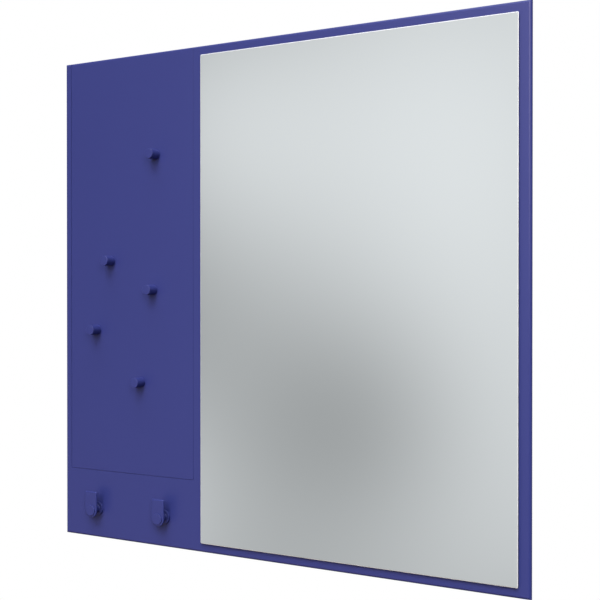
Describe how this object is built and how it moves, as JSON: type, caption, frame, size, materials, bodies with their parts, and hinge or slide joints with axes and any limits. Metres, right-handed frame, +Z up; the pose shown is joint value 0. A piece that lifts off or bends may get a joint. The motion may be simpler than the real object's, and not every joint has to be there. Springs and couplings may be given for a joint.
{
  "type": "wall mirror with notice board",
  "caption": "Square lacquered wall panel with a tall mirror, a flush steel notice board folded over the top edge, pull-off magnets, and hooks with upright tongues below it.",
  "frame": {"origin": "centre of the panel's back face, on the wall", "axes": "+X to the right seen from the front, +Z up, the front faces -Y and the wall lies at +Y"},
  "size_m": [0.696, 0.03, 0.696],
  "materials": {
    "panel_lacquer": "satin lacquer on fibreboard",
    "board_lacquer": "satin lacquer on sheet steel",
    "hook_lacquer": "satin lacquer",
    "knob_lacquer": "satin lacquer",
    "mirror": "silvered float glass with ground edges",
    "safety_film": "matt film",
    "mounting_tape": "foam tape",
    "adhesive": "adhesive film",
    "screw_steel": "zinc plated",
    "hanger_steel": "zinc plated",
    "magnet_metal": "nickel plated magnet"
  },
  "bodies": {
    "panel": {"panel": "panel_lacquer", "notice_board": "board_lacquer", "notice_board_adhesive": "adhesive", "mirror_glass": "mirror", "mirror_safety_film": "safety_film", "mirror_tape_strips": "mounting_tape", "hook_left": "hook_lacquer", "hook_left_cap": "hook_lacquer", "hook_right": "hook_lacquer", "hook_right_cap": "hook_lacquer", "hook_screws": "screw_steel", "hanger_plate_left": "hanger_steel", "hanger_plate_right": "hanger_steel", "hanger_screws": "screw_steel"},
    "magnet_1": {"magnet_1_knob": "knob_lacquer", "magnet_1_core": "magnet_metal"},
    "magnet_2": {"magnet_2_knob": "knob_lacquer", "magnet_2_core": "magnet_metal"},
    "magnet_3": {"magnet_3_knob": "knob_lacquer", "magnet_3_core": "magnet_metal"},
    "magnet_4": {"magnet_4_knob": "knob_lacquer", "magnet_4_core": "magnet_metal"},
    "magnet_5": {"magnet_5_knob": "knob_lacquer", "magnet_5_core": "magnet_metal"}
  },
  "joints": [
    {"name": "magnet_1_pull", "type": "slide", "parent": "panel", "child": "magnet_1", "axis": [0, -1, 0], "range_m": [0, 0.04]},
    {"name": "magnet_2_pull", "type": "slide", "parent": "panel", "child": "magnet_2", "axis": [0, -1, 0], "range_m": [0, 0.04]},
    {"name": "magnet_3_pull", "type": "slide", "parent": "panel", "child": "magnet_3", "axis": [0, -1, 0], "range_m": [0, 0.04]},
    {"name": "magnet_4_pull", "type": "slide", "parent": "panel", "child": "magnet_4", "axis": [0, -1, 0], "range_m": [0, 0.04]},
    {"name": "magnet_5_pull", "type": "slide", "parent": "panel", "child": "magnet_5", "axis": [0, -1, 0], "range_m": [0, 0.04]}
  ]
}
